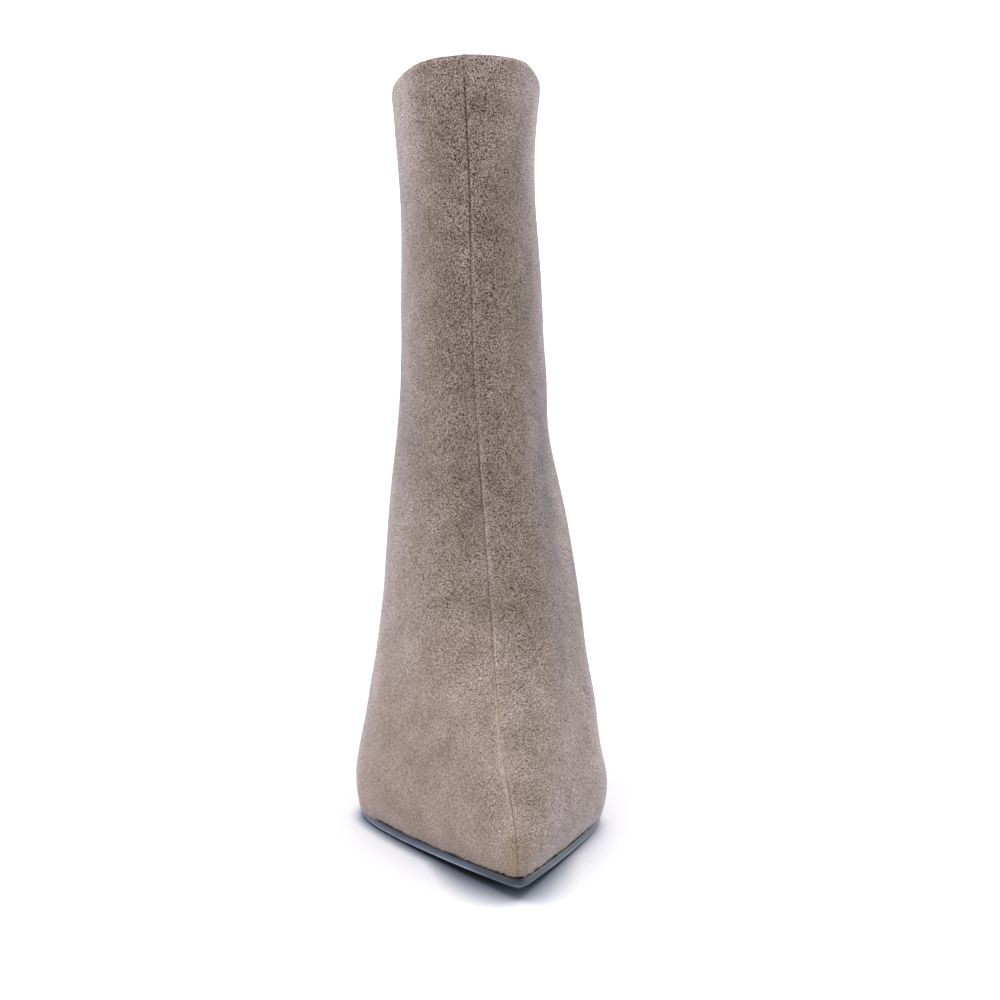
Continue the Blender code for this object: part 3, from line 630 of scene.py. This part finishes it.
def suedeLeather(looks):  # split calf with a raised nap: matt, flecked by its tufts with painted shade between them, painted light and shade in its tone, pale where seen edge on
    material, tree, shader, where = newMaterial("taupe suede")
    names = ("napTone", "napLong", "seamInk", "seamDots", "seamSide", "outerEdge", "innerEdge", "rise",
             "rubbed", "toRim")
    held = {name: addNode(tree, "Attribute", attribute_name=name).outputs["Fac"] for name in names}
    gap = addNode(tree, "Math", {0: held["seamSide"]}, operation="ABSOLUTE").outputs[0]
    nap = napTufts(tree, looks, where, held["seamSide"])
    fleck = napFlecks(tree, looks, nap, gap, held["napLong"])
    shade = napShade(tree, looks, where, held)
    colour = addNode(tree, "ValToRGB", {"Fac": fleck}, looks["flecks"]).outputs["Color"]
    # cooler tint where painted light and brushed patches make the nap paler, warmer where painted shade
    # darkens it
    low, high = looks["coolTones"]
    cool = addNode(tree, "MapRange", {"Value": shade, 1: low, 2: high}).outputs[0]
    tint = addNode(tree, "Mix", {0: cool, 6: linear(looks["warm"]), 7: linear(looks["cool"])},
                   data_type="RGBA").outputs[2]
    for layer in (shade, tint):
        colour = addNode(tree, "Mix", {0: 1.0, 6: colour, 7: layer}, data_type="RGBA",
                         blend_type="MULTIPLY").outputs[2]
    bare = addNode(tree, "Math", {0: held["rubbed"], 1: looks["rubbedShare"]},
                   operation="MULTIPLY").outputs[0]
    sewn = sewnLine(tree, looks, where, gap, held)
    for share, name in ((bare, "rubbed"), (sewn, "seam")):
        colour = addNode(tree, "Mix", {0: share, 6: colour, 7: linear(looks[name])},
                         data_type="RGBA").outputs[2]
    raised = addNode(tree, "MapRange", {
        "Value": held["napLong"], 3: looks["shortRaise"] * mm, 4: looks["longRaise"] * mm}).outputs[0]
    bump = addNode(tree, "Bump", {"Strength": 1.0, "Distance": raised, "Height": nap})
    feed(tree, shader, {
        "Base Color": colour, "Normal": bump.outputs["Normal"],
        "Roughness": looks["roughness"], "Specular IOR Level": looks["specular"],
        "Sheen Weight": edgeFuzz(tree, looks, fleck), "Sheen Roughness": looks["fuzzRoughness"],
        "Sheen Tint": linear(looks["fuzzTint"])})
    return material


liningLooks = {
    "grain": 0.9, "cloud": 14.0, "raise": 0.1,  # mm: pores, clouds of tone, depth of the pores
    "relief": 0.35,  # how strongly that depth shows
    "dark": "#A8927E", "light": "#C3AE9B", "rough": (0.5, 0.66),
}


def liningLeather(looks):  # drummed pigskin lining: smooth, a faint sheen, fine close pores
    material, tree, shader, where = newMaterial("lining leather")
    cells = addNode(tree, "TexVoronoi", {
        "Vector": where, "Scale": 1 / (looks["grain"] * mm)}).outputs["Distance"]
    cloud = addNode(tree, "TexNoise", {
        "Vector": where, "Scale": 1 / (looks["cloud"] * mm), "Detail": 3.0}).outputs["Fac"]
    colour = addNode(tree, "Mix", {0: cloud, 6: linear(looks["dark"]), 7: linear(looks["light"])},
                     data_type="RGBA").outputs[2]
    least, most = looks["rough"]
    rough = addNode(tree, "MapRange", {"Value": cells, 3: least, 4: most}).outputs[0]
    bump = addNode(tree, "Bump", {
        "Strength": looks["relief"], "Distance": looks["raise"] * mm, "Height": cells})
    feed(tree, shader, {"Base Color": colour, "Roughness": rough, "Normal": bump.outputs["Normal"]})
    return material


soleLooks = {
    "grain": 0.5, "scuff": 9.0, "raise": 0.05,  # mm: grain, scuffs, depth of the grain
    "relief": 0.2,  # how strongly that depth shows
    "dark": "#606E88", "light": "#7B89A4", "rough": (0.3, 0.42), "specular": 0.3,
    "under": "#262D3B", "underFade": 0.4,  # mm, the darker underside
    # mm above the underside, where a painted reflection of the floor runs pale along the arris
    "arrisGlint": "#CDD3D6", "arris": 0.85, "arrisWidth": 0.3, "arrisGlintShare": 1.5,
    # painted shade under the suede's edge, at the joint: its reach in mm at the tip and away from it, and
    # those distances
    "weltShade": "#0B0E16", "weltShadeShare": 0.95, "weltShadeFrom": 0.2, "weltShadeReach": (7.0, 2.0), "weltShadeTip": (2.0, 24.0),
    "polish": 0.15, "polishRough": 0.22,
}


def soleLeather(looks):  # sole leather, dyed slate, burnished edge: satin, with a painted pale reflection along the arris and painted shade under the suede's edge
    material, tree, shader, where = newMaterial("burnished sole leather")
    edgeUp, toTop, toTip = (addNode(tree, "Attribute", attribute_name=name).outputs["Fac"]
                            for name in ("edgeUp", "toTop", "toTip"))
    streak = addNode(tree, "TexNoise", {
        "Vector": where, "Scale": 1 / (looks["scuff"] * mm), "Detail": 5.0,
        "Roughness": 0.65}).outputs["Fac"]
    grain = addNode(tree, "TexNoise", {
        "Vector": where, "Scale": 1 / (looks["grain"] * mm), "Detail": 2.0}).outputs["Fac"]
    colour = addNode(tree, "Mix", {0: streak, 6: linear(looks["dark"]), 7: linear(looks["light"])},
                     data_type="RGBA").outputs[2]
    under = addNode(tree, "MapRange", {
        "Value": edgeUp, 1: 0.0, 2: looks["underFade"], 3: 1.0, 4: 0.0}).outputs[0]
    # painted reflection: a pale line along the arris, broken by the scuffs
    off = addNode(tree, "Math", {0: edgeUp, 1: looks["arris"]}, operation="SUBTRACT").outputs[0]
    off = addNode(tree, "Math", {0: off}, operation="ABSOLUTE").outputs[0]
    rubbed = addNode(tree, "MapRange", {
        "Value": off, 1: 0.0, 2: looks["arrisWidth"], 3: 1.0, 4: 0.0},
        interpolation_type="SMOOTHSTEP").outputs[0]
    rubbed = addNode(tree, "Math", {0: rubbed, 1: streak}, operation="MULTIPLY").outputs[0]
    rubbed = addNode(tree, "Math", {0: rubbed, 1: looks["arrisGlintShare"]}, operation="MULTIPLY",
                     use_clamp=True).outputs[0]
    # painted shade under the suede's edge, reaching furthest down at the tip
    (near, far), (atTip, away) = looks["weltShadeTip"], looks["weltShadeReach"]
    reach = addNode(tree, "MapRange", {"Value": toTip, 1: near, 2: far, 3: atTip, 4: away}).outputs[0]
    jointShade = addNode(tree, "MapRange", {
        "Value": toTop, 1: looks["weltShadeFrom"], 2: reach, 3: looks["weltShadeShare"], 4: 0.0}).outputs[0]
    for share, name in ((under, "under"), (rubbed, "arrisGlint"), (jointShade, "weltShade")):
        colour = addNode(tree, "Mix", {0: share, 6: colour, 7: linear(looks[name])},
                         data_type="RGBA").outputs[2]
    (low, high), (least, most) = noiseSpan, looks["rough"]
    rough = addNode(tree, "MapRange", {"Value": streak, 1: low, 2: high, 3: least, 4: most}).outputs[0]
    bump = addNode(tree, "Bump", {
        "Strength": looks["relief"], "Distance": looks["raise"] * mm, "Height": grain})
    feed(tree, shader, {
        "Base Color": colour, "Roughness": rough, "Normal": bump.outputs["Normal"],
        "Specular IOR Level": looks["specular"], "Coat Weight": looks["polish"],
        "Coat Roughness": looks["polishRough"]})
    return material


liftLooks = {
    "grit": 0.4, "raise": 0.06,  # mm: grit and its depth
    "relief": 0.4,  # how strongly that depth shows
    "dark": "#17171A", "light": "#26262A", "roughness": 0.68,
}


def heelRubber(looks):  # moulded rubber top piece: near black, dull, a little gritty
    material, tree, shader, where = newMaterial("black heel rubber")
    grit = addNode(tree, "TexNoise", {
        "Vector": where, "Scale": 1 / (looks["grit"] * mm), "Detail": 3.0}).outputs["Fac"]
    colour = addNode(tree, "Mix", {0: grit, 6: linear(looks["dark"]), 7: linear(looks["light"])},
                     data_type="RGBA").outputs[2]
    bump = addNode(tree, "Bump", {
        "Strength": looks["relief"], "Distance": looks["raise"] * mm, "Height": grit})
    feed(tree, shader, {
        "Base Color": colour, "Roughness": looks["roughness"], "Normal": bump.outputs["Normal"]})
    return material


# The sole, insole, heel and top piece

# edges are rounded by "edge" mm in so many steps where they turn by more than "sharp" degrees,
# and shaded smooth where they turn by less than "smooth"; "flat" and "nearlyFlat" say how squarely
# the top and underside of the sole face up and down
soleShape = {"edge": 0.35, "steps": 3, "sharp": 28, "smooth": 40, "flat": 0.8, "nearlyFlat": 0.6}
insoleShape = {"edge": 0.5, "steps": 2, "sharp": 50, "smooth": 40}
heelShape = {"edge": 0.4, "steps": 2, "sharp": 50, "smooth": 45, "napLong": 0.25}  # short nap, with faint flecks and little painted shade
liftShape = {"edge": 0.5, "steps": 3, "sharp": 50, "smooth": 40}


def roundedCopy(node, name, looks, material):  # a solid's copy in quads, with rounded edges
    piece = copyOf(node, name)
    bpy.ops.object.mode_set(mode="EDIT")
    bpy.ops.mesh.select_all(action="SELECT")
    bpy.ops.mesh.tris_convert_to_quads(face_threshold=math.radians(60), shape_threshold=math.radians(90))
    bpy.ops.object.mode_set(mode="OBJECT")
    addModifier(piece, "BEVEL", width=looks["edge"] * mm, segments=looks["steps"], limit_method="ANGLE",
                angle_limit=math.radians(looks["sharp"]))
    piece.data.materials.append(material)
    bpy.ops.object.shade_smooth_by_angle(angle=math.radians(looks["smooth"]))
    return piece


def measureSole(piece, looks):  # how far each point lies above the underside, below the top and from the tip
    points = places(piece)
    facing = vectors(piece, "normal")[:, 2]
    for name, side in (("edgeUp", -facing), ("toTop", facing)):
        face = points[side > looks["flat"]]
        face = face[np.argsort(face[:, 1])]
        away = abs(points[:, 2] - np.interp(points[:, 1], face[:, 1], face[:, 2])) / mm
        setValues(piece, **{name: np.where(side > looks["nearlyFlat"], 0.0, away)})
    setValues(piece, toTip=(points[:, 1] - points[:, 1].min()) / mm)


def makeInsole(looks, leather):
    piece = roundedCopy("insole", "leather_insole", looks, leather)
    dressed(piece, "insole")


def makeSole(looks, leather):
    piece = roundedCopy("outsole", "leather_outsole", looks, leather)
    measureSole(piece, looks)
    dressed(piece, "outsole")
    return piece


def makeHeel(looks, suede):  # the same suede, short and far from any seam
    piece = roundedCopy("heel", "suede_heel", looks, suede)
    far = np.full(len(piece.data.vertices), farOff)
    setValues(piece, seamSide=far, rise=far, toRim=far, napTone=far * 0, napLong=far * 0 + looks["napLong"])
    dressed(piece, "heel")


def makeLift(looks, rubber):
    piece = roundedCopy("top_lift", "rubber_top_lift", looks, rubber)
    dressed(piece, "top_lift")


# The studio: white floor, soft light, and the camera in front of the toe

floorLooks = {
    "size": 8.0, "roughness": 0.9,  # m
    # the floor where the boot shuts the light out, from the foot of the sole outwards
    "contact": [(0.26, "#14171B"), (0.54, "#929BB0"), (0.81, "#F2F2F7")], "samples": 8,
    # mm: how wide that is at the toe tip and away from it, and the distances from the tip where it changes
    "contactReach": (24.0, 7.5), "contactTip": (6.0, 48.0),
    # where the light on the floor comes from: at the tip from behind, at the joints from outside and above
    "contactFrom": (0.0, 1.0, 0.25), "contactAside": (-0.25, 0.7), "contactBack": 0.35,
    "contactWidth": 40.0,  # mm to each side
}


def floorPaint(looks, tip):  # matt white paint, with the shadow longest in front of the toe
    material, tree, shader, where = newMaterial("white studio floor")
    toTip = addNode(tree, "VectorMath", {0: where, 1: tip}, operation="DISTANCE").outputs["Value"]
    near, far = (x * mm for x in looks["contactTip"])
    most, least = (x * mm for x in looks["contactReach"])
    away = addNode(tree, "MapRange", {"Value": toTip, 1: near, 2: far}).outputs[0]
    reach = addNode(tree, "MapRange", {"Value": away, 3: most, 4: least}).outputs[0]
    wide, (outer, inner) = looks["contactWidth"] * mm, looks["contactAside"]
    aside = addNode(tree, "SeparateXYZ", {0: where}).outputs[0]
    aside = addNode(tree, "MapRange", {"Value": aside, 1: -wide, 2: wide, 3: outer, 4: inner}).outputs[0]
    aside = addNode(tree, "CombineXYZ", {0: aside, 1: looks["contactBack"], 2: 1.0}).outputs[0]
    lean = addNode(tree, "Mix", {0: away, 4: looks["contactFrom"], 5: aside}, data_type="VECTOR").outputs[1]
    lean = addNode(tree, "VectorMath", {0: lean}, operation="NORMALIZE").outputs[0]
    shut = addNode(tree, "AmbientOcclusion", {"Distance": reach, "Normal": lean}, samples=looks["samples"])
    foot = addNode(tree, "ValToRGB", {"Fac": shut.outputs["AO"]}, looks["contact"])
    feed(tree, shader, {"Base Color": foot.outputs["Color"], "Roughness": looks["roughness"]})
    return material


def makeFloor(looks, tip):
    bpy.ops.object.select_all(action="DESELECT")
    bpy.ops.mesh.primitive_plane_add(size=looks["size"])
    floor = bpy.context.object
    floor.name = "floor"
    floor.data.materials.append(floorPaint(looks, tip))


lightLooks = {
    # soft light: where each comes from, how tight it is, and how strong
    "soft": [
        {"name": "sweep behind", "from": (0, 1, 0.15), "tight": 2, "light": 0.66},
        {"name": "behind and above", "from": (0, 0.7, 0.7), "tight": 3, "light": 2.2},
        {"name": "above", "from": (0, 0, 1), "tight": 3, "light": 0.9},
        {"name": "outer side", "from": (-1, 0, 0.15), "tight": 2, "light": 1.05},
        {"name": "inner back", "from": (0.7, 0.7, 0.15), "tight": 3, "light": 1.2},
    ],
    "backdrop": 2.0,
    # a card in front of the toe: place, the point that it faces, and size, in mm
    "card": {"name": "front card", "at": (0, -560, 40), "face": (10, -110, 30), "size": 260, "power": 1.5},
}


def makeSky(looks):
    world = bpy.data.worlds.new("studio")
    world.use_nodes = True
    tree = world.node_tree
    way = addNode(tree, "TexCoord").outputs["Generated"]
    glow = (0.0, 0.0, 0.0)
    for light in looks["soft"]:
        toward = addNode(tree, "VectorMath", {0: way, 1: Vector(light["from"]).normalized()},
                         operation="DOT_PRODUCT").outputs["Value"]
        toward = addNode(tree, "Math", {0: toward, 1: 0.0}, operation="MAXIMUM").outputs[0]
        toward = addNode(tree, "Math", {0: toward, 1: light["tight"]}, operation="POWER").outputs[0]
        glow = addNode(tree, "VectorMath", {0: toward, 1: [light["light"]] * 3, 2: glow},
                       operation="MULTIPLY_ADD", name=light["name"]).outputs[0]
    seen = addNode(tree, "LightPath").outputs["Is Camera Ray"]  # the backdrop is white from every side
    glow = addNode(tree, "Mix", {0: seen, 6: glow, 7: [looks["backdrop"]] * 3 + [1.0]},
                   data_type="RGBA").outputs[2]
    feed(tree, tree.nodes["Background"], {"Color": glow})
    bpy.context.scene.world = world


def makeCard(looks):
    bpy.ops.object.light_add(type="AREA", location=[x * mm for x in looks["at"]])
    lamp = bpy.context.object
    lamp.name = looks["name"]
    lamp.data.size = looks["size"] * mm
    lamp.data.energy = looks["power"]
    lamp.visible_camera = False
    way = [(b - a) * mm for a, b in zip(looks["at"], looks["face"])]
    lamp.rotation_euler = Vector(way).to_track_quat("-Z", "Y").to_euler()


cameraLooks = {"at": (6.88, -778.19, 215.0), "pitch": 8.27, "lens": 83.12, "sensor": 36.0}  # mm, degrees


def makeCamera(looks):
    bpy.ops.object.camera_add(location=[x * mm for x in looks["at"]],
                              rotation=(math.radians(90 - looks["pitch"]), 0, 0))
    camera = bpy.context.object
    camera.data.lens = looks["lens"]
    camera.data.sensor_width = looks["sensor"]
    bpy.context.scene.camera = camera
    bpy.context.scene.view_settings.view_transform = "Standard"


suede = suedeLeather(suedeLooks)
lining = liningLeather(liningLooks)
upper = makeUpper(upperLooks, suede, lining)
makeFuzz(upper, fuzzLooks, suede)
makeInsole(insoleShape, lining)
sole = makeSole(soleShape, soleLeather(soleLooks))
makeHeel(heelShape, suede)
makeLift(liftShape, heelRubber(liftLooks))
print("pieces made")
makeFloor(floorLooks, min(places(sole).tolist(), key=lambda point: point[1]))
makeSky(lightLooks)
makeCard(lightLooks["card"])
makeCamera(cameraLooks)
print("studio made")
